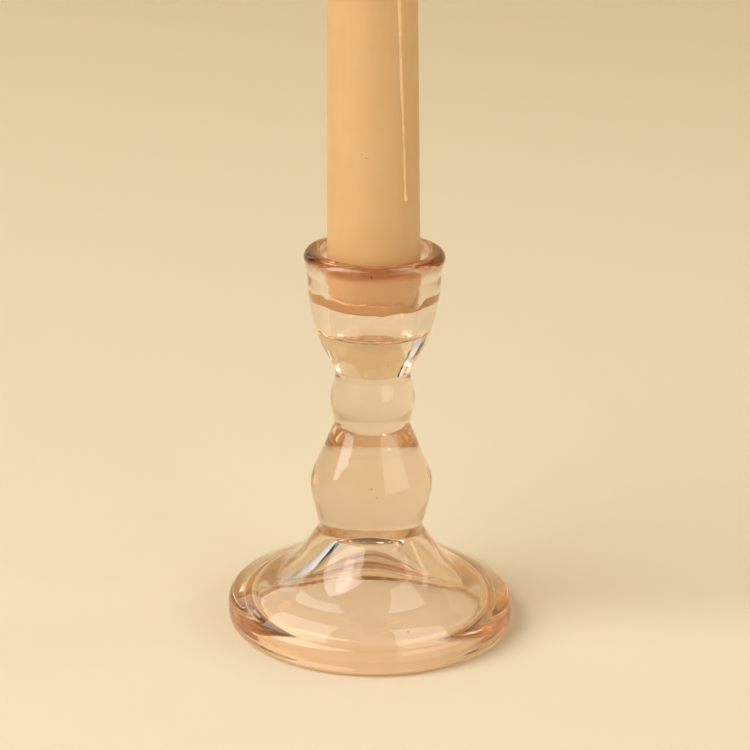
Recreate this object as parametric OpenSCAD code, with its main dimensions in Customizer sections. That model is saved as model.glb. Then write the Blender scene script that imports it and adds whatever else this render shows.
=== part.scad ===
// Pressed-glass candlestick with a taper candle standing in its socket.
// Units are millimetres. The foot's resting ring lies on z = 0, and the glass's axis is the Z axis.

/* [Foot] */
// Diameter over the foot
foot_d = 70; // [69.5:0.5:72]
// Height of the foot's thick edge
foot_edge_h = 8; // [7.9:0.1:8.6]
// Diameter of the hollow where it opens on the resting ring
ring_d = 55.4; // [54:0.2:57]
// Height of the hollow under the foot
hollow_h = 24.4; // [22:0.2:25]

/* [Stem] */
// Diameter of the waist above the foot
waist_d = 25.2; // [24:0.2:26]
// Diameter of the baluster at its belly
belly_d = 29.6; // [29:0.2:31]
// Diameter of the neck between baluster and knop
neck_d = 18.2; // [17.8:0.2:18.6]
// Diameter of the knop
knop_d = 20.4; // [20:0.2:20.8]
// Diameter of the throat between knop and cup
throat_d = 17.9; // [17:0.1:18.4]

/* [Cup] */
// Height of the glass from the table to its lip
glass_h = 94.9; // [94.4:0.1:96]
// Diameter of the cup below its lip
cup_d = 31.6; // [31:0.1:32]
// Diameter over the lip
lip_d = 33.5; // [33:0.1:34]
// Diameter of the socket at its mouth
mouth_d = 25; // [24.6:0.1:25.2]
// Diameter of the socket at its floor
floor_d = 20.4; // [19.4:0.1:20.6]
// Depth of the socket from the lip to its floor
socket_depth = 20; // [19.5:0.5:21]

/* [Candle] */
// Diameter of the candle where it leaves the cup
candle_d = 22; // [21.4:0.1:22.2]
// Length of the candle from its foot to its top
candle_l = 130; // [90:5:200]
// How much the candle's diameter shrinks in 100 mm of height
candle_taper = 2.2; // [1.5:0.1:3]
// How far the candle goes into the socket
candle_insert = 13; // [12:0.5:13.5]
// Lean of the candle in its socket, in degrees
candle_lean = 1; // [0:0.1:1]
// Thickness of the coloured wax over the pale core
overdip_t = 0.8; // [0.5:0.1:1.2]
// Diameter of the wick
wick_d = 1.8; // [1.4:0.1:2.4]

/* [Hidden] */
$fn = 96;

// --- Belts: an outline is a belt run round a row of round stations ---
// A station is [centre radius, centre height, rounding radius, side].
// Side is 1 where the solid bulges round the station, and -1 where it dips round it.
function bulge(r, z, rho) = [r - rho, z, rho, 1];
function dip(r, z, rho) = [r + rho, z, rho, -1];
// The same on the wall of a hollow, where r is the radius of the air inside.
function inner_bulge(r, z, rho) = [r + rho, z, rho, 1];
function inner_dip(r, z, rho) = [r - rho, z, rho, -1];

arc_step = 6; // largest turn between two points of an arc, in degrees
function centre(s) = [s[0], s[1]];
function reach(s) = s[2] * s[3];
// Direction of the straight run that leaves station a and touches station b.
function heading(a, b) =
    let (way = centre(b) - centre(a))
    atan2(way.y, way.x) - asin((reach(b) - reach(a)) / norm(way));
function touch(s, angle) = centre(s) - reach(s) * [-sin(angle), cos(angle)];
// A turn from one heading to another, between -180 and 180 degrees.
function turn(from, to) =
    let (d = (to - from) % 360)
    d > 180 ? d - 360 : (d < -180 ? d + 360 : d);
function arc(s, from, to) =
    let (swing = turn(from, to), steps = max(1, ceil(abs(swing) / arc_step)))
    [for (k = [0 : steps]) touch(s, from + swing * k / steps)];
// The belt leaves the axis at heading 0 and comes back to it at heading 180.
function belt(stations) =
    let (
        last = len(stations) - 1,
        runs = [0, for (i = [1 : last]) heading(stations[i - 1], stations[i]), 180],
        path = [for (i = [0 : last]) each arc(stations[i], runs[i], runs[i + 1])]
    )
    [[0, path[0].y], each path, [0, path[len(path) - 1].y]];

// --- Glass ---
foot_low_round = 2.6;
foot_top_round = 3;
sweep_round = 16.7; // hollow sweep from the foot up to the waist
sweep_centre = [31, 26.9];
crown_round = 20; // slight swell of the foot between its edge and the sweep
crown_lie = 15.9; // slope of the foot where the swell turns into the sweep, in degrees
crown_gap = 0.01; // keeps the swell just clear of the sweep, so that a straight run joins them
crown_centre = sweep_centre - (sweep_round + crown_gap + crown_round) * [sin(crown_lie), cos(crown_lie)];
ring_round = 0.8;
shoulder_z = 1.8;
shoulder_round = 3;
flank_round = 30; // wall of the hollow, which bulges a little into it
flank_centre = [35.1, 33.9];
apex_round = 7;
lip_round = 1.85;
lip_z = glass_h - lip_round;
floor_z = glass_h - socket_depth;
floor_round = 2;

GLASS = [
    // hollow under the foot, from its apex outwards
    [0, hollow_h - apex_round, apex_round, -1],
    [flank_centre.x, flank_centre.y, flank_round, 1],
    inner_dip(ring_d / 2, shoulder_z, shoulder_round),
    inner_bulge(ring_d / 2, ring_round, ring_round),
    // foot
    bulge(foot_d / 2, foot_low_round, foot_low_round),
    bulge(foot_d / 2, foot_edge_h - foot_top_round, foot_top_round),
    [crown_centre.x, crown_centre.y, crown_round, 1],
    [sweep_centre.x, sweep_centre.y, sweep_round, -1],
    // stem
    dip(waist_d / 2, 24.9, 1.7),
    bulge(belly_d / 2, 35.5, 11.7),
    dip(neck_d / 2, 51.8, 2),
    bulge(knop_d / 2, 57.7, 9.9),
    dip(throat_d / 2, 64.4, 2.5),
    // cup and lip
    bulge(cup_d / 2 - 1.5, 80, 20),
    bulge(cup_d / 2, 87.4, 31),
    dip(cup_d / 2 + 0.1, 89.4, 1.4),
    bulge(lip_d / 2, lip_z, lip_round),
    inner_bulge(mouth_d / 2, lip_z, lip_round),
    // socket
    inner_dip(floor_d / 2, floor_z + floor_round, floor_round)
];

module glass_candlestick() {
    color([0.93, 0.78, 0.68, 0.45]) rotate_extrude() polygon(belt(GLASS));
}

// --- Candle, drawn standing on z = 0 and then set into the socket ---
candle_foot_z = glass_h - candle_insert;
foot_r = 10.1; // cut foot, narrower than the candle
foot_round = 1.2;
foot_cone_h = 5.5; // height over which the foot swells to the full candle
swell_round = 5;
rim_round = 0.9;
dish_r = 14; // radius of the hollow that burning left in the top
dish_depth = 2.6;
wick_out = 6.5; // straight wick standing above the hollow
wick_bend_r = 4;
wick_bend = 35;

function candle_r(z) = candle_d / 2 - (z - candle_insert) * candle_taper / 200;

CANDLE = [
    bulge(foot_r, foot_round, foot_round),
    bulge(candle_r(foot_cone_h), foot_cone_h, swell_round),
    bulge(candle_r(candle_l), candle_l - rim_round, rim_round),
    [0, candle_l - dish_depth + dish_r, dish_r, -1]
];
CORE_SLEEVE = [
    bulge(foot_r - overdip_t, foot_round, foot_round),
    bulge(candle_r(foot_cone_h) - overdip_t, foot_cone_h, swell_round),
    bulge(candle_r(candle_l) - overdip_t, candle_l + rim_round, rim_round)
];

module in_socket() {
    translate([0, 0, candle_foot_z]) rotate([0, -candle_lean, 0]) children();
}

module core_section() {
    intersection() {
        polygon(belt(CANDLE));
        polygon(belt(CORE_SLEEVE));
    }
}

module wick_hole() {
    cylinder(h = candle_l, d = wick_d);
}

module candle_core() {
    color([0.98, 0.87, 0.70]) in_socket() difference() {
        rotate_extrude() core_section();
        wick_hole();
    }
}

module candle_overdip() {
    color([0.93, 0.72, 0.50]) in_socket() rotate_extrude() difference() {
        polygon(belt(CANDLE));
        polygon(belt(CORE_SLEEVE));
    }
}

wick_top = candle_l - dish_depth + wick_out;

module wick() {
    color([0.25, 0.21, 0.18]) in_socket() {
        cylinder(h = wick_top, d = wick_d);
        translate([wick_bend_r, 0, wick_top]) rotate([90, 0, 0])
            rotate_extrude(angle = -wick_bend) translate([-wick_bend_r, 0]) circle(d = wick_d);
    }
}

// --- Drip: a run of wax from the rim, set fast in the candle's side and ending in a bead ---
drip_d = 1;
bead_d = 1.5;
drip_low_z = 27.2; // height of the bead above the candle's foot
drip_low_turn = -46.5; // place of the bead round the candle, in degrees
drip_high_turn = -64; // place of the run's top end
drip_high_z = candle_l - 2 * rim_round;

function on_candle(z, angle, sink) =
    let (r = candle_r(z) - sink)
    [r * cos(angle), r * sin(angle), z];

module wax_drip() {
    low = on_candle(drip_low_z, drip_low_turn, 0);
    high = on_candle(drip_high_z, drip_high_turn, 0);
    way = high - low;
    run = norm(way);
    outline = [
        bulge(bead_d / 2, 0, bead_d / 2),
        dip(drip_d / 2, 1.1 * bead_d, 0.8 * bead_d),
        bulge(drip_d / 2, run, drip_d / 2)
    ];
    color([1, 0.93, 0.80]) in_socket() translate(low)
        rotate([0, acos(way.z / run), atan2(way.y, way.x)]) rotate_extrude() polygon(belt(outline));
}

// --- Softened wax squeezed between the candle's foot and the socket ---
wax_gap = 0.1; // clearance to the glass, so that the candle lifts out
foot_wax_low = 0.4;
foot_wax_h = 3.4;

// Radius of the socket's tapered wall, along the straight run between lip and floor.
socket_run = heading(GLASS[len(GLASS) - 2], GLASS[len(GLASS) - 1]);
socket_foot = touch(GLASS[len(GLASS) - 1], socket_run);
function socket_r(z) = socket_foot.x + (z - socket_foot.y) / tan(socket_run);

module foot_wax() {
    low = candle_foot_z + foot_wax_low;
    high = low + foot_wax_h;
    color([0.90, 0.66, 0.42]) difference() {
        rotate_extrude() polygon([
            [foot_r - foot_round, low],
            [socket_r(low) - wax_gap, low],
            [socket_r(high) - wax_gap, high],
            [foot_r - foot_round, high]
        ]);
        in_socket() rotate_extrude() polygon(belt(CANDLE));
    }
}

glass_candlestick();
candle_core();
candle_overdip();
wick();
wax_drip();
foot_wax();
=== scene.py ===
"""Looks for a pressed-glass candlestick with a taper candle, in metres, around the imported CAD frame."""

import math

import bmesh
import bpy
from mathutils import Matrix, Vector, noise


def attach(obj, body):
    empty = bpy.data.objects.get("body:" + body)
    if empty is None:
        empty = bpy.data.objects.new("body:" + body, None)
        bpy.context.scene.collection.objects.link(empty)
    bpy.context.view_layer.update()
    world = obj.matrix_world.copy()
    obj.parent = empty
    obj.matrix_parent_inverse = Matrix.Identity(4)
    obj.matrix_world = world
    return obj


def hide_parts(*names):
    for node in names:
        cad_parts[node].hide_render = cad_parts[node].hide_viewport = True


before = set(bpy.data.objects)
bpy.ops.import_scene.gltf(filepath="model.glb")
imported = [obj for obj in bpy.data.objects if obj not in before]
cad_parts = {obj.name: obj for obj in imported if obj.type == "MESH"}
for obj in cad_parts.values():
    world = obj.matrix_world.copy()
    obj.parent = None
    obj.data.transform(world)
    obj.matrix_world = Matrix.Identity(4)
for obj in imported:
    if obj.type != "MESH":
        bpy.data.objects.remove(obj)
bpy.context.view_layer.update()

MM = 0.001
# The floor lies a hair below the glass, so that light leaves the foot before it meets the floor.
FLOOR_GAP = 0.05 * MM
# Softboxes in watts, then the strengths of the room's light and of the backdrop's glow.
KEY, FILL, RIM, ROOM, GLOW = 318, 52, 1.2, 0.22, 0.24
# The softboxes are laid out close to the object, and then moved out and enlarged by this factor.
LAMP_SCALE = 2.2
# Radius of the cove's flat floor, radius of its bend and height of its wall, in metres.
COVE_FLAT, COVE_BEND, COVE_WALL = 7.0, 1.5, 5.5
# Camera: place in metres, downward pitch and roll in degrees, focal length in millimetres.
CAMERA_AT, CAMERA_PITCH, CAMERA_ROLL, CAMERA_LENS = (0.0005, -0.5382, 0.2510), 19.21, 0.81, 114.0


# ---------------------------------------------------------------- outlines
# An outline is a belt run round a row of round stations, as in the CAD model.
# A station is (centre radius, centre height, rounding radius, side), in millimetres. Side is 1 where the
# solid bulges round the station and -1 where it dips round it.

def bulge(r, z, rho):
    return (r - rho, z, rho, 1)


def dip(r, z, rho):
    return (r + rho, z, rho, -1)


def inner_bulge(r, z, rho):
    return (r + rho, z, rho, 1)


def inner_dip(r, z, rho):
    return (r - rho, z, rho, -1)


def heading(a, b):
    """Direction of the straight run that leaves station a and touches station b."""
    dr, dz = b[0] - a[0], b[1] - a[1]
    return math.atan2(dz, dr) - math.asin((b[2] * b[3] - a[2] * a[3]) / math.hypot(dr, dz))


def touch(s, angle):
    reach = s[2] * s[3]
    return (s[0] + reach * math.sin(angle), s[1] - reach * math.cos(angle))


def arc(s, start, end, step):
    swing = (end - start + math.pi) % (2 * math.pi) - math.pi
    steps = max(1, math.ceil(abs(swing) / step))
    return [touch(s, start + swing * k / steps) for k in range(steps + 1)]


def belt(stations, step=math.radians(3), run_step=0.7):
    """Points (r, z) in millimetres from axis to axis, with straight runs cut to pieces of run_step."""
    runs = [0.0] + [heading(a, b) for a, b in zip(stations, stations[1:])] + [math.pi]
    path = [p for i, s in enumerate(stations) for p in arc(s, runs[i], runs[i + 1], step)]
    path = [(0.0, path[0][1])] + path + [(0.0, path[-1][1])]
    fine = [path[0]]
    for a, b in zip(path, path[1:]):
        pieces = max(1, math.ceil(math.dist(a, b) / run_step))
        for k in range(1, pieces + 1):
            p = (a[0] + (b[0] - a[0]) * k / pieces, a[1] + (b[1] - a[1]) * k / pieces)
            if math.dist(p, fine[-1]) > 1e-4:
                fine.append(p)
    return fine


# ---------------------------------------------------------------- meshes

def mesh_object(name, verts, faces):
    mesh = bpy.data.meshes.new(name)
    mesh.from_pydata([tuple(v) for v in verts], [], faces)
    mesh.validate()
    bm = bmesh.new()
    bm.from_mesh(mesh)
    bmesh.ops.recalc_face_normals(bm, faces=bm.faces)
    bm.to_mesh(mesh)
    bm.free()
    mesh.polygons.foreach_set("use_smooth", [True] * len(mesh.polygons))
    obj = bpy.data.objects.new(name, mesh)
    bpy.context.scene.collection.objects.link(obj)
    return obj


def lathe(outline, around):
    """Vertices in metres and faces of the closed solid that an outline from axis to axis turns into."""
    rings = outline[1:-1]
    turns = [2 * math.pi * k / around for k in range(around)]
    verts = [(r * MM * math.cos(t), r * MM * math.sin(t), z * MM) for r, z in rings for t in turns]
    faces = []
    for i in range(len(rings) - 1):
        for k in range(around):
            n = (k + 1) % around
            faces.append((i * around + k, i * around + n, (i + 1) * around + n, (i + 1) * around + k))
    first, last = len(verts), len(verts) + 1
    verts += [(0, 0, outline[0][1] * MM), (0, 0, outline[-1][1] * MM)]
    top = (len(rings) - 1) * around
    for k in range(around):
        n = (k + 1) % around
        faces.append((first, n, k))
        faces.append((last, top + k, top + n))
    return verts, faces


# Radii and heights of the glass in millimetres, as in the CAD model.
FOOT, FOOT_EDGE_H, RING, HOLLOW_H = 35.0, 8.0, 27.7, 24.4
WAIST, BELLY, NECK, KNOP, THROAT = 12.6, 14.8, 9.1, 10.2, 8.95
GLASS_H, CUP, LIP, MOUTH = 94.9, 15.8, 16.75, 12.5
SOCKET_FLOOR, SOCKET_DEPTH = 10.2, 20.0
APEX_ROUND, EDGE_ROUND, LIP_ROUND, FLOOR_ROUND = 7.0, 3.0, 1.85, 2.0
LIP_Z = GLASS_H - LIP_ROUND

GLASS = [
    # hollow under the foot, from its apex outwards
    (0, HOLLOW_H - APEX_ROUND, APEX_ROUND, -1),
    (35.1, 33.9, 30, 1),
    inner_dip(RING, 1.8, 3),
    inner_bulge(RING, 0.8, 0.8),
    # foot, with a slight swell before the sweep
    bulge(FOOT, 2.6, 2.6),
    bulge(FOOT, FOOT_EDGE_H - EDGE_ROUND, EDGE_ROUND),
    (20.943, -8.406, 20, 1),
    (31, 26.9, 16.7, -1),
    # stem
    dip(WAIST, 24.9, 1.7),
    bulge(BELLY, 35.5, 11.7),
    dip(NECK, 51.8, 2),
    bulge(KNOP, 57.7, 9.9),
    dip(THROAT, 64.4, 2.5),
    # cup and lip
    bulge(CUP - 1.5, 80, 20),
    bulge(CUP, 87.4, 31),
    dip(CUP + 0.1, 89.4, 1.4),
    bulge(LIP, LIP_Z, LIP_ROUND),
    inner_bulge(MOUTH, LIP_Z, LIP_ROUND),
    # socket
    inner_dip(SOCKET_FLOOR, GLASS_H - SOCKET_DEPTH + FLOOR_ROUND, FLOOR_ROUND),
]
# Waviness of fire-polished glass in millimetres: slow and quick waves, and the inset that keeps them inside.
SLOW_WAVE, QUICK_WAVE, WAVE_INSET = 0.055, 0.014, 0.015

# Seed bubbles in the glass: place and radius in millimetres.
BUBBLES = [
    (0.0, -11.6, 38.6, 0.16),
    (1.2, -10.8, 36.4, 0.13),
    (4.4, 6.1, 41.0, 0.10),
    (-0.6, -14.9, 92.6, 0.22),
    (9.0, -26.0, 7.2, 0.16),
    (-21.0, -14.0, 8.6, 0.14),
    (2.6, -3.0, 69.5, 0.12),
]


def make_glass():
    """Turned glass, slightly wavy, with seed bubbles as inward-facing skins inside the solid."""
    verts, faces = lathe(belt(GLASS), 216)
    wavy = []
    for v in verts:
        p = Vector(v)
        r = max(math.hypot(p.x, p.y), 1e-6)
        slow = noise.noise(p * 70.0 + Vector((3.1, 0.4, 7.7)))
        quick = noise.noise(Vector((p.x * 160.0, p.y * 160.0, p.z * 420.0)))
        push = min(1.0, r / 0.006) * (SLOW_WAVE * slow + QUICK_WAVE * quick - WAVE_INSET) * MM
        standing = min(1.0, p.z / (3 * MM))
        wavy.append(p + Vector((p.x / r, p.y / r, 0)) * push * (0.3 + 0.7 * standing))
    obj = mesh_object("candlestick_glass", wavy, faces)
    bm = bmesh.new()
    bm.from_mesh(obj.data)
    for x, y, z, size in BUBBLES:
        seed = bmesh.ops.create_icosphere(bm, subdivisions=2, radius=size * MM)
        bmesh.ops.scale(bm, vec=(1, 1, 1.5), verts=seed["verts"])
        bmesh.ops.translate(bm, vec=Vector((x, y, z)) * MM, verts=seed["verts"])
        skin = list({f for v in seed["verts"] for f in v.link_faces})
        bmesh.ops.reverse_faces(bm, faces=skin)
        for f in skin:
            f.smooth = True
    bm.to_mesh(obj.data)
    bm.free()
    return obj


# ---------------------------------------------------------------- candle
CANDLE_D, CANDLE_L, CANDLE_INSERT, TAPER = 22.0, 130.0, 13.0, 2.2
CANDLE_FOOT_Z, LEAN = GLASS_H - CANDLE_INSERT, 1.0
# Cut foot of the candle, and the cone above it that widens to the full candle.
FOOT_R, FOOT_ROUND, FOOT_CONE_H, SWELL_ROUND = 10.1, 1.2, 5.5, 5.0
RIM_ROUND, DISH_R, DISH_DEPTH, OVERDIP_T = 0.9, 14.0, 2.6, 0.8
WICK_OUT, WICK_BEND_R, WICK_BEND = 6.5, 4.0, math.radians(35)
# The skin and the core meet with a hair of clearance. Their hidden sides need only a few heights.
LAYER_GAP = 0.02
SIDE_HEIGHTS = (8, 30, 60, 90, 120)


def candle_r(z):
    return CANDLE_D / 2 - (z - CANDLE_INSERT) * TAPER / 200


def in_socket(p):
    """Place a point in millimetres, drawn with the candle's foot at z = 0, into the socket, in metres."""
    turn = Matrix.Rotation(math.radians(-LEAN), 3, "Y")
    q = turn @ Vector(p)
    return Vector((q.x, q.y, q.z + CANDLE_FOOT_Z)) * MM


def ring_mesh(name, section, around, shape):
    """Closed ring turned from a closed section of (r, z) points. shape(r, z, angle) gives each vertex."""
    n = len(section)
    verts = [shape(r, z, 2 * math.pi * k / around) for k in range(around) for r, z in section]
    faces = []
    for k in range(around):
        m = (k + 1) % around
        for i in range(n):
            j = (i + 1) % n
            faces.append((k * n + i, k * n + j, m * n + j, m * n + i))
    return mesh_object(name, verts, faces)


def hand_dipped(r, z, angle):
    """Outer skin of the candle, with the slow waves and the small dents of dipped wax."""
    x, y = r * math.cos(angle), r * math.sin(angle)
    p = Vector((x, y, z))
    wave = 0.07 * noise.noise(p * 0.05 + Vector((1.7, 2.2, 0.3)))
    dents = 0.035 * noise.noise(p * 0.35 + Vector((5.0, 1.0, 9.0)))
    fine = 0.012 * noise.noise(Vector((x * 1.1, y * 1.1, z * 0.5)))
    push = min(1.0, r / 6.0) * (wave + dents + fine)
    grown = (r + push) / max(r, 1e-6)
    return in_socket((x * grown, y * grown, z))


def make_candle_skin():
    outer = belt([
        bulge(FOOT_R, FOOT_ROUND, FOOT_ROUND),
        bulge(candle_r(FOOT_CONE_H), FOOT_CONE_H, SWELL_ROUND),
        bulge(candle_r(CANDLE_L), CANDLE_L - RIM_ROUND, RIM_ROUND),
        (0, CANDLE_L - DISH_DEPTH + DISH_R, DISH_R, -1),
    ], math.radians(6), 0.9)
    core_top_r = candle_r(CANDLE_L) - OVERDIP_T
    top = max(p[1] for p in outer)
    rim = max(i for i, p in enumerate(outer) if p[1] > top - 1e-6)
    cut = next(i for i in range(rim, len(outer)) if outer[i][0] < core_top_r)
    section = outer[1:cut]
    inner = [(core_top_r, section[-1][1] - 0.05)]
    inner += [(candle_r(z) - OVERDIP_T, z) for z in reversed(SIDE_HEIGHTS)]
    inner += [
        (FOOT_R - OVERDIP_T - 0.4, OVERDIP_T + 0.6),
        (FOOT_R - OVERDIP_T - 1.6, OVERDIP_T),
        (0.02, OVERDIP_T),
    ]
    section = [(0.02, section[0][1])] + section + inner
    return ring_mesh("candle_skin", section, 144, hand_dipped)


def make_candle_core():
    """Pale core, which shows in the melt dish at the top with a few slow ripples."""
    edge = candle_r(CANDLE_L) - OVERDIP_T - LAYER_GAP

    def dish(r):
        return CANDLE_L - DISH_DEPTH + DISH_R - math.sqrt(DISH_R ** 2 - r ** 2)

    section = [
        (0.0, OVERDIP_T + LAYER_GAP),
        (FOOT_R - OVERDIP_T - 1.7, OVERDIP_T + LAYER_GAP),
        (FOOT_R - OVERDIP_T - 0.5, OVERDIP_T + 0.7),
    ]
    section += [(candle_r(z) - OVERDIP_T - LAYER_GAP, z) for z in SIDE_HEIGHTS]
    section += [(edge, dish(edge) - 0.3)]
    rings = 24
    section += [(edge * k / rings, dish(edge * k / rings)) for k in range(rings, 0, -1)]
    section += [(0.0, dish(0))]
    verts, faces = lathe(section, 96)
    placed = []
    for v in verts:
        p = Vector(v) / MM
        if p.z > CANDLE_L - 3:
            r = math.hypot(p.x, p.y)
            p.z += 0.10 * noise.noise(p * 0.45) + 0.05 * math.cos(2.4 * r + 2 * noise.noise(p * 0.3))
        placed.append(in_socket(p))
    return mesh_object("candle_heart", placed, faces)


def tube(path, half_width, half_height, side, out, around=16):
    """Closed tube along path. half_width runs along side(i), half_height along out(i)."""
    verts, faces = [], []
    for i, p in enumerate(path):
        for k in range(around):
            t = 2 * math.pi * k / around
            sideways = side(i) * (half_width(i) * math.cos(t))
            outwards = out(i) * (half_height(i) * math.sin(t))
            verts.append(p + sideways + outwards)
    for i in range(len(path) - 1):
        for k in range(around):
            n = (k + 1) % around
            faces.append((i * around + k, i * around + n, (i + 1) * around + n, (i + 1) * around + k))
    faces.append(tuple(range(around)))
    faces.append(tuple((len(path) - 1) * around + k for k in reversed(range(around))))
    return verts, faces


# Heights above the candle's foot in millimetres, and places round the candle in degrees.
DRIP_LOW_Z, DRIP_HIGH_Z = 26.6, 128.4
DRIP_LOW_TURN, DRIP_HIGH_TURN = -46.5, -64.0


def make_drip():
    """Thin run of wax that clings to the candle's side and ends in a small bead."""
    count = 260
    span = DRIP_HIGH_Z - DRIP_LOW_Z
    zs = [DRIP_LOW_Z + span * (i / (count - 1)) ** 1.25 for i in range(count)]

    def turn(z):
        share = (z - DRIP_LOW_Z) / span
        stray = 1.3 * noise.noise(Vector((z * 0.055, 4.2, 0.0)))
        straight = DRIP_LOW_TURN + (DRIP_HIGH_TURN - DRIP_LOW_TURN) * share
        return math.radians(straight + stray * min(1, share * 8))

    def out(i):
        a = turn(zs[i])
        return Vector((math.cos(a), math.sin(a), 0))

    def side(i):
        a = turn(zs[i])
        return Vector((-math.sin(a), math.cos(a), 0))

    def bead(z):
        d = (z - DRIP_LOW_Z - 0.62) / 0.62
        return math.sqrt(max(0.0, 1 - d * d)) if d < 0 else math.exp(-1.1 * d * d)

    def wide(i):
        z = zs[i]
        run = (0.34 + 0.30 * (z - DRIP_LOW_Z) / span + 0.12 * noise.noise(Vector((z * 0.16, 0.0, 2.0))))
        tail = min(1.0, max(0.0, (z - DRIP_LOW_Z) / 0.6))
        close = min(1.0, max(0.02, (DRIP_HIGH_Z - z) / 0.5))
        return max(0.03, run * tail * close + 0.33 * bead(z))

    def high(i):
        z = zs[i]
        tail = min(1.0, max(0.0, (z - DRIP_LOW_Z) / 0.6))
        close = min(1.0, max(0.1, (DRIP_HIGH_Z - z) / 0.5))
        run = 0.16 + 0.05 * noise.noise(Vector((z * 0.21, 6.0, 1.0)))
        return max(0.03, run * tail * close + 0.42 * bead(z))

    path = [out(i) * (candle_r(z) - 0.02) + Vector((0, 0, z)) for i, z in enumerate(zs)]
    verts, faces = tube(path, wide, high, side, out)
    return mesh_object("wax_run", [in_socket(v) for v in verts], faces)


def hump(angle, middle, width):
    """Smooth bump of height 1 round the candle, with its middle and width in degrees."""
    return math.exp(-((math.degrees(angle) - middle) / width) ** 2)


def make_foot_wax():
    """Ragged band of wax round the candle's foot, pressed against the socket's wall."""
    bore_low, bore_high = socket_wall()
    slope = (bore_high[0] - bore_low[0]) / (bore_high[1] - bore_low[1])

    def bore(z):
        return bore_low[0] + slope * (z - bore_low[1])

    base = CANDLE_FOOT_Z
    rows = 14
    section = [(1, k / rows) for k in range(rows + 1)] + [(0, 1), (0, 0)]

    def shape(wall, share, angle):
        at = Vector((2.4 * math.cos(angle), 2.4 * math.sin(angle), 0))
        ragged = noise.noise(at * 1.1) * 0.75 + noise.noise(at * 3.3 + Vector((0, 0, 4))) * 0.45
        ragged -= 1.5 * hump(angle, 318, 9)
        ragged += 0.9 * hump(angle, 208, 26)
        low = base + 0.55 + 0.45 * noise.noise(at * 1.3 + Vector((7, 0, 1)))
        high = base + 3.0 + ragged
        z = low + (high - low) * share
        if wall:
            edge = min(share, 1 - share) * (high - low)
            r = bore(z) + 0.03 - 0.55 * max(0.0, 1 - edge / 0.35) ** 2
        else:
            r = FOOT_R - 1.0
        return Vector((r * math.cos(angle), r * math.sin(angle), z)) * MM

    return ring_mesh("foot_wax_band", section, 240, shape)


def socket_wall():
    """Lower and upper end of the straight run of the socket's tapered wall, as (r, z)."""
    lip, floor = GLASS[-2], GLASS[-1]
    run = heading(lip, floor)
    return touch(floor, run), touch(lip, run)


def make_wick():
    """Three twisted strands that stand in the wax and curl over at the tip."""
    straight = CANDLE_L - DISH_DEPTH + WICK_OUT
    start = CANDLE_L - DISH_DEPTH - 5
    length = straight - start + WICK_BEND_R * WICK_BEND
    count, strands, lay = 90, 3, 5.5
    verts, faces = [], []
    for strand in range(strands):
        path = []
        for i in range(count):
            s = length * i / (count - 1)
            up = s - (straight - start)
            if up < 0:
                centre, tilt = Vector((0, 0, start + s)), 0.0
            else:
                tilt = up / WICK_BEND_R
                lean = WICK_BEND_R * (1 - math.cos(tilt))
                centre = Vector((lean, 0, straight + WICK_BEND_R * math.sin(tilt)))
            twist = 2 * math.pi * (strand / strands + s / lay)
            spread = 0.42 * (1.0 - 0.45 * max(0.0, s / length - 0.6) / 0.4)
            across = Vector((math.cos(tilt), 0, -math.sin(tilt)))
            path.append(centre + (across * math.cos(twist) + Vector((0, 1, 0)) * math.sin(twist)) * spread)

        def thick(i):
            taper = 1 - 0.5 * (i / count) ** 3
            lumps = 1 + 0.12 * math.sin(i * 1.9 + strand)
            return max(0.06, 0.47 * taper * lumps * min(1.0, (count - 1 - i) / 3 + 0.25))

        more, quads = tube(path, thick, thick, lambda i: Vector((1, 0, 0)), lambda i: Vector((0, 1, 0)), 12)
        faces += [tuple(len(verts) + k for k in f) for f in quads]
        verts += more
    return mesh_object("braided_wick", [in_socket(v) for v in verts], faces)


# ---------------------------------------------------------------- materials

def new_material(name):
    mat = bpy.data.materials.new(name)
    mat.use_nodes = True
    mat.node_tree.nodes.clear()
    out = mat.node_tree.nodes.new("ShaderNodeOutputMaterial")
    return mat, mat.node_tree, out


def object_place(tree):
    """Coordinates on the piece itself, in metres."""
    return tree.nodes.new("ShaderNodeTexCoord").outputs["Object"]


def axis_of(tree, vector, axis):
    split = tree.nodes.new("ShaderNodeSeparateXYZ")
    tree.links.new(vector, split.inputs["Vector"])
    return split.outputs[axis]


def length_of(tree, vector, kept=(1, 1, 1)):
    """Length of a vector, of which kept says which axes count."""
    pick = tree.nodes.new("ShaderNodeVectorMath")
    pick.operation = "MULTIPLY"
    pick.inputs[1].default_value = kept
    tree.links.new(vector, pick.inputs[0])
    reach = tree.nodes.new("ShaderNodeVectorMath")
    reach.operation = "LENGTH"
    tree.links.new(pick.outputs["Vector"], reach.inputs[0])
    return reach.outputs["Value"]


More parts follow.
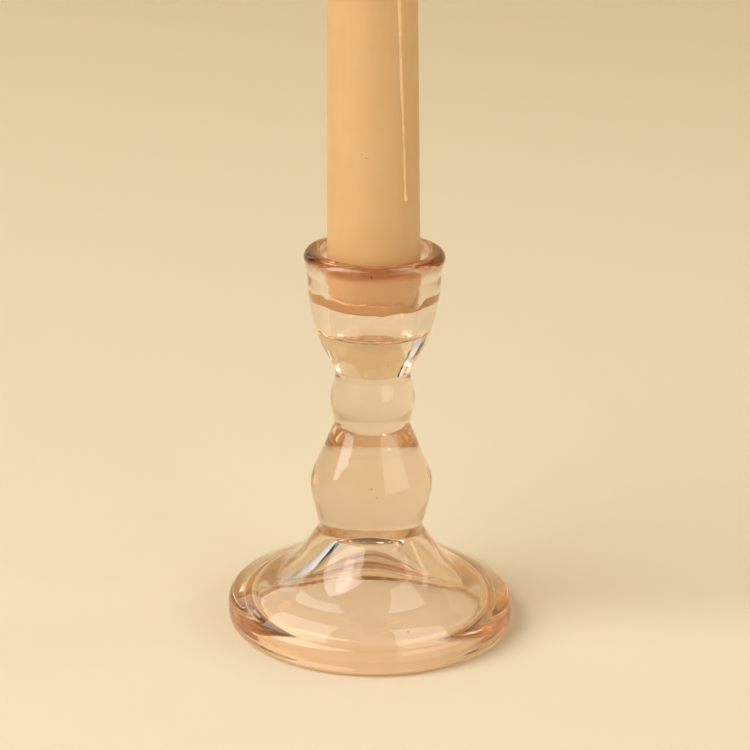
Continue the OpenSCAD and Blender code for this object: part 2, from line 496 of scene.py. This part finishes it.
def glass_material():
    """Blush glass. Surface and volume both tint it, and the surface tint is strongest at lip and rim, where
    it is painted shade set by position.
    """
    mat, tree, out = new_material("blush_glass")
    shader = tree.nodes.new("ShaderNodeBsdfPrincipled")
    place_in = object_place(tree)
    # Painted shade: the lip gets a deeper, darker, streaky tint by height, standing in for how the thick
    # glass darkens the light there.
    streaks = ranged(tree, noise_node(tree, place_in, 150, 3, (1, 1, 3.5)), 0.40, 0.62)
    painted_lip_shade = mixed(tree, streaks, (0.74, 0.45, 0.29), (0.52, 0.23, 0.12))
    lip = ranged(tree, axis_of(tree, place_in, "Z"), 91.0 * MM, 93.0 * MM)
    # Painted shade: the foot's rim gets a darker tint by radius, standing in for the thick glass over the
    # shaded floor beneath it.
    rim = ranged(tree, length_of(tree, place_in, (1, 1, 0)), 32.2 * MM, 34.4 * MM)
    colour = mixed(tree, lip, (1.0, 0.95, 0.915), painted_lip_shade)
    colour = mixed(tree, rim, colour, (0.88, 0.71, 0.59))
    tree.links.new(colour, shader.inputs["Base Color"])
    shader.inputs["Roughness"].default_value = 0.0
    shader.inputs["IOR"].default_value = 1.5
    shader.inputs["Transmission Weight"].default_value = 1.0
    # faint orange peel of pressed glass
    bumped(tree, shader, noise_node(tree, place_in, 240, 2), 0.25, 0.00002)
    tree.links.new(shader.outputs["BSDF"], out.inputs["Surface"])
    absorb = tree.nodes.new("ShaderNodeVolumeAbsorption")
    absorb.inputs["Color"].default_value = (0.80, 0.62, 0.40, 1)
    absorb.inputs["Density"].default_value = 29.0
    tree.links.new(absorb.outputs["Volume"], out.inputs["Volume"])
    return mat


def noise_node(tree, vector, scale, detail=4.0, stretch=(1, 1, 1)):
    fit = tree.nodes.new("ShaderNodeMapping")
    fit.inputs["Scale"].default_value = stretch
    tex = tree.nodes.new("ShaderNodeTexNoise")
    tex.inputs["Scale"].default_value = scale
    tex.inputs["Detail"].default_value = detail
    tree.links.new(vector, fit.inputs["Vector"])
    tree.links.new(fit.outputs["Vector"], tex.inputs["Vector"])
    return tex.outputs["Fac"]


def ranged(tree, value, low, high, to_low=0.0, to_high=1.0):
    node = tree.nodes.new("ShaderNodeMapRange")
    for name, number in (("From Min", low), ("From Max", high), ("To Min", to_low), ("To Max", to_high)):
        node.inputs[name].default_value = number
    tree.links.new(value, node.inputs["Value"])
    return node.outputs["Result"]


def mixed(tree, factor, first, second):
    """Blend of two colours, each a tuple or a socket."""
    node = tree.nodes.new("ShaderNodeMix")
    node.data_type = "RGBA"
    tree.links.new(factor, node.inputs["Factor"])
    for name, colour in (("A", first), ("B", second)):
        if isinstance(colour, tuple):
            node.inputs[name].default_value = (*colour, 1)
        else:
            tree.links.new(colour, node.inputs[name])
    return node.outputs["Result"]


def bumped(tree, shader, height, strength, distance):
    bump = tree.nodes.new("ShaderNodeBump")
    bump.inputs["Strength"].default_value = strength
    bump.inputs["Distance"].default_value = distance
    tree.links.new(height, bump.inputs["Height"])
    tree.links.new(bump.outputs["Normal"], shader.inputs["Normal"])


def wax(name, base, blush, speck, roughness, subsurface):
    """Wax with cloudy patches, faint upright draw marks and a few dark specks."""
    mat, tree, out = new_material(name)
    shader = tree.nodes.new("ShaderNodeBsdfPrincipled")
    place_in = object_place(tree)
    clouds = ranged(tree, noise_node(tree, place_in, 70, 5), 0.35, 0.68)
    streaks = ranged(tree, noise_node(tree, place_in, 520, 3, (1, 1, 0.07)), 0.42, 0.75, 0.0, 0.35)
    grit = ranged(tree, noise_node(tree, place_in, 900, 1), 0.80, 0.84)
    colour = mixed(tree, clouds, base, blush)
    colour = mixed(tree, streaks, colour, tuple(c * 0.88 for c in base))
    colour = mixed(tree, grit, colour, speck)
    tree.links.new(colour, shader.inputs["Base Color"])
    sheen = ranged(tree, noise_node(tree, place_in, 160, 4), 0.3, 0.7, roughness - 0.07, roughness + 0.08)
    tree.links.new(sheen, shader.inputs["Roughness"])
    shader.inputs["IOR"].default_value = 1.43
    shader.inputs["Specular IOR Level"].default_value = 1.0
    shader.inputs["Subsurface Weight"].default_value = subsurface
    shader.inputs["Subsurface Radius"].default_value = (1.0, 0.55, 0.28)
    shader.inputs["Subsurface Scale"].default_value = 0.8 * MM
    bumped(tree, shader, noise_node(tree, place_in, 1300, 5, (1, 1, 0.35)), 0.35, 0.00006)
    tree.links.new(shader.outputs["BSDF"], out.inputs["Surface"])
    return mat


def candle_wax():
    return wax("peach_wax", (0.585, 0.375, 0.172), (0.555, 0.342, 0.15), (0.40, 0.19, 0.07), 0.46, 0.5)


def core_wax():
    return wax("pale_wax", (0.86, 0.66, 0.42), (0.82, 0.60, 0.36), (0.30, 0.20, 0.12), 0.34, 0.7)


def drip_wax():
    return wax("drip_wax", (0.82, 0.53, 0.29), (0.76, 0.46, 0.22), (0.60, 0.36, 0.18), 0.30, 0.5)


def soft_wax():
    return wax("soft_wax", (0.63, 0.375, 0.17), (0.56, 0.32, 0.13), (0.32, 0.13, 0.04), 0.40, 0.5)


def wick_material():
    """Cotton, waxed at its foot and charred towards the tip."""
    mat, tree, out = new_material("cotton_wick")
    shader = tree.nodes.new("ShaderNodeBsdfPrincipled")
    place_in = object_place(tree)
    foot = (CANDLE_FOOT_Z + CANDLE_L - DISH_DEPTH) * MM
    char = ranged(tree, axis_of(tree, place_in, "Z"), foot + 0.8 * MM, foot + 3.2 * MM)
    fibres = ranged(tree, noise_node(tree, place_in, 2600, 3, (1, 1, 0.3)), 0.35, 0.7)
    cotton = mixed(tree, fibres, (0.62, 0.50, 0.34), (0.45, 0.34, 0.21))
    ash = mixed(tree, fibres, (0.012, 0.011, 0.010), (0.06, 0.052, 0.045))
    tree.links.new(mixed(tree, char, cotton, ash), shader.inputs["Base Color"])
    shader.inputs["Roughness"].default_value = 0.85
    bumped(tree, shader, noise_node(tree, place_in, 3400, 3, (1, 1, 0.4)), 0.6, 0.0001)
    tree.links.new(shader.outputs["BSDF"], out.inputs["Surface"])
    return mat


def cove_material():
    """Pale paper that turns yellower away from the camera, and glows more towards the wall. The paler near
    part is a painted sheen, and the glow is painted light.
    """
    mat, tree, out = new_material("cove_paper")
    shader = tree.nodes.new("ShaderNodeBsdfPrincipled")
    place_in = object_place(tree)
    # Painted sheen: the floor is paler near the camera, standing in for the softbox's gloss on it.
    painted_sheen_fade = ranged(tree, axis_of(tree, place_in, "Y"), -0.4, 1.0)
    tree.links.new(mixed(tree, painted_sheen_fade, (0.88, 0.775, 0.585), (0.87, 0.745, 0.51)), shader.inputs["Base Color"])
    shader.inputs["Roughness"].default_value = 0.85
    # Painted light: the paper itself glows, more strongly further out towards the wall.
    shader.inputs["Emission Color"].default_value = (1.0, 0.84, 0.58, 1)
    glow = ranged(tree, length_of(tree, place_in), 0.6, 7.0, 0.0, GLOW)
    tree.links.new(glow, shader.inputs["Emission Strength"])
    tree.links.new(shader.outputs["BSDF"], out.inputs["Surface"])
    return mat


def assign(obj, mat):
    obj.data.materials.clear()
    obj.data.materials.append(mat)


# ---------------------------------------------------------------- stage, lights, camera

def make_cove():
    """Seamless floor that curves up into a wall all round."""
    points = [(0.0, 0.0), (0.5, 0.0), (1.2, 0.0), (COVE_FLAT, 0.0)]
    bend_steps, around = 16, 96
    for k in range(1, bend_steps + 1):
        t = math.radians(90 * k / bend_steps)
        points.append((COVE_FLAT + COVE_BEND * math.sin(t), COVE_BEND * (1 - math.cos(t))))
    points.append((COVE_FLAT + COVE_BEND, COVE_WALL))
    turns = [2 * math.pi * k / around for k in range(around)]
    verts = [(0, 0, -FLOOR_GAP)]
    faces = []
    for r, z in points[1:]:
        verts += [(r * math.cos(t), r * math.sin(t), z - FLOOR_GAP) for t in turns]
    for k in range(around):
        n = (k + 1) % around
        faces.append((0, 1 + k, 1 + n))
        for i in range(len(points) - 2):
            low, high = 1 + i * around, 1 + (i + 1) * around
            faces.append((low + k, high + k, high + n, low + n))
    obj = mesh_object("cove", verts, faces)
    assign(obj, cove_material())


def glow_panel(name, corners, faces, colour, strength):
    """Stage panel seen only in and through shiny pieces: no diffuse light, and no shadow.

    strength is a number, or a pair of numbers for the panel's foot and its upper part.
    """
    panel = mesh_object(name, corners, faces)
    mat, tree, out = new_material(name)
    lit = tree.nodes.new("ShaderNodeEmission")
    lit.inputs["Color"].default_value = (*colour, 1)
    place_in = object_place(tree)
    if isinstance(strength, tuple):
        power = ranged(tree, axis_of(tree, place_in, "Z"), 0.15, 0.19, *strength)
    else:
        power = ranged(tree, noise_node(tree, place_in, 6, 3), 0.3, 0.7, 0.85 * strength, 1.15 * strength)
    tree.links.new(power, lit.inputs["Strength"])
    tree.links.new(lit.outputs["Emission"], out.inputs["Surface"])
    assign(panel, mat)
    panel.visible_camera = False
    panel.visible_diffuse = False
    panel.visible_shadow = False
    return panel


def make_side_window():
    """White reflector between two dark flags at the back left. The azimuths are in degrees."""
    distance, low, high = 0.45, 0.10, 0.34
    columns = 6
    for name, first, last, strength in (
            ("flag_inner", -150, -146.5, (0.55, 0.0)),
            ("reflector", -146.5, -135, (0.80, 1.05)),
            ("flag_outer", -135, -122, (0.55, 0.0))):
        corners, faces = [], []
        for k in range(columns + 1):
            az = math.radians(first + (last - first) * k / columns)
            for z in (low, high):
                corners.append((distance * math.sin(az), -distance * math.cos(az), z))
        for k in range(columns):
            faces.append((2 * k, 2 * k + 2, 2 * k + 3, 2 * k + 1))
        glow_panel(name, corners, faces, (0.92, 0.94, 0.94), strength)


def make_ceiling_panels():
    """Two bright panels overhead, mirrored as soft bands by the glass but not seen through it."""
    distance = 1.1
    left = ((-0.62, 0.42, 0.66), (-0.40, 0.55, 0.73), (-0.16, 0.30, 0.94), (-0.30, 0.10, 0.95))
    right = ((0.12, 0.26, 0.96), (0.42, 0.34, 0.84), (0.72, -0.30, 0.62), (0.34, -0.40, 0.85))
    for name, directions in (("ceiling_left", left), ("ceiling_right", right)):
        corners = [Vector(d) * distance for d in directions]
        panel = glow_panel(name, corners, [(0, 1, 2, 3)], (1.0, 0.97, 0.92), 2.8)
        panel.visible_transmission = False


def softbox(name, corner, along, up, power):
    """A rectangular lamp given by one corner and two edges, in metres before LAMP_SCALE."""
    corner, along, up = (Vector(v) * LAMP_SCALE for v in (corner, along, up))
    lamp = bpy.data.lights.new(name, "AREA")
    lamp.shape = "RECTANGLE"
    lamp.size, lamp.size_y = along.length, up.length
    lamp.energy = power
    obj = bpy.data.objects.new(name, lamp)
    bpy.context.scene.collection.objects.link(obj)
    centre = corner + (along + up) / 2
    x = along.normalized()
    z = x.cross(up).normalized()
    if z.dot(centre) < 0:
        x, z = -x, -z
    y = z.cross(x)
    turn = Matrix((x, y, z)).transposed().to_4x4()
    obj.matrix_world = Matrix.Translation(centre) @ turn
    obj.visible_camera = False
    return obj


def make_lights():
    softbox("key_softbox", (-0.36, 0.04, 1.0), (-2.47, -0.43, -0.343), (-0.128, -1.66, 0.573), KEY)
    softbox("fill_softbox", (0.88, -1.80, 0.16), (1.06, 1.34, 0), (0, 0, 1.1), FILL)
    softbox("rim_strip", (0.62, 0.06, 0.26), (0.0, 0.10, 0.0), (-0.10, 0.0, 0.30), RIM)
    world = bpy.data.worlds.new("studio")
    world.use_nodes = True
    background = world.node_tree.nodes["Background"]
    background.inputs["Color"].default_value = (1, 0.90, 0.70, 1)
    background.inputs["Strength"].default_value = ROOM
    bpy.context.scene.world = world


def make_camera():
    data = bpy.data.cameras.new("camera")
    data.sensor_width = 36
    data.lens = CAMERA_LENS
    data.clip_start, data.clip_end = 0.01, 30
    cam = bpy.data.objects.new("camera", data)
    bpy.context.scene.collection.objects.link(cam)
    pitch, roll = math.radians(CAMERA_PITCH), math.radians(CAMERA_ROLL)
    cam.rotation_mode = "QUATERNION"
    cam.matrix_world = (
        Matrix.Translation(CAMERA_AT)
        @ Matrix.Rotation(math.pi / 2 - pitch, 4, "X")
        @ Matrix.Rotation(roll, 4, "Z")
    )
    bpy.context.scene.camera = cam


# ---------------------------------------------------------------- scene


def place(piece, body, node, mat):
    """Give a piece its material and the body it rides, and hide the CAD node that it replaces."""
    assign(piece, mat)
    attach(piece, body)
    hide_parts(node)


place(make_glass(), "holder", "glass_candlestick", glass_material())
place(make_candle_skin(), "candle", "candle_overdip", candle_wax())
place(make_candle_core(), "candle", "candle_core", core_wax())
place(make_wick(), "candle", "wick", wick_material())
place(make_drip(), "candle", "wax_drip", drip_wax())
place(make_foot_wax(), "candle", "foot_wax", soft_wax())
make_cove()
make_side_window()
make_ceiling_panels()
make_lights()
make_camera()
scene = bpy.context.scene
scene.view_settings.view_transform = "Standard"
# Light is caught in the lip and in the foot's rim, and leaves after many reflections.
scene.cycles.max_bounces = 128
scene.cycles.transmission_bounces = 64
scene.cycles.glossy_bounces = 96
scene.cycles.transparent_max_bounces = 16
# Light that the glass bends onto the floor keeps its full strength.
scene.cycles.blur_glossy = 0.0
scene.cycles.sample_clamp_indirect = 0.0
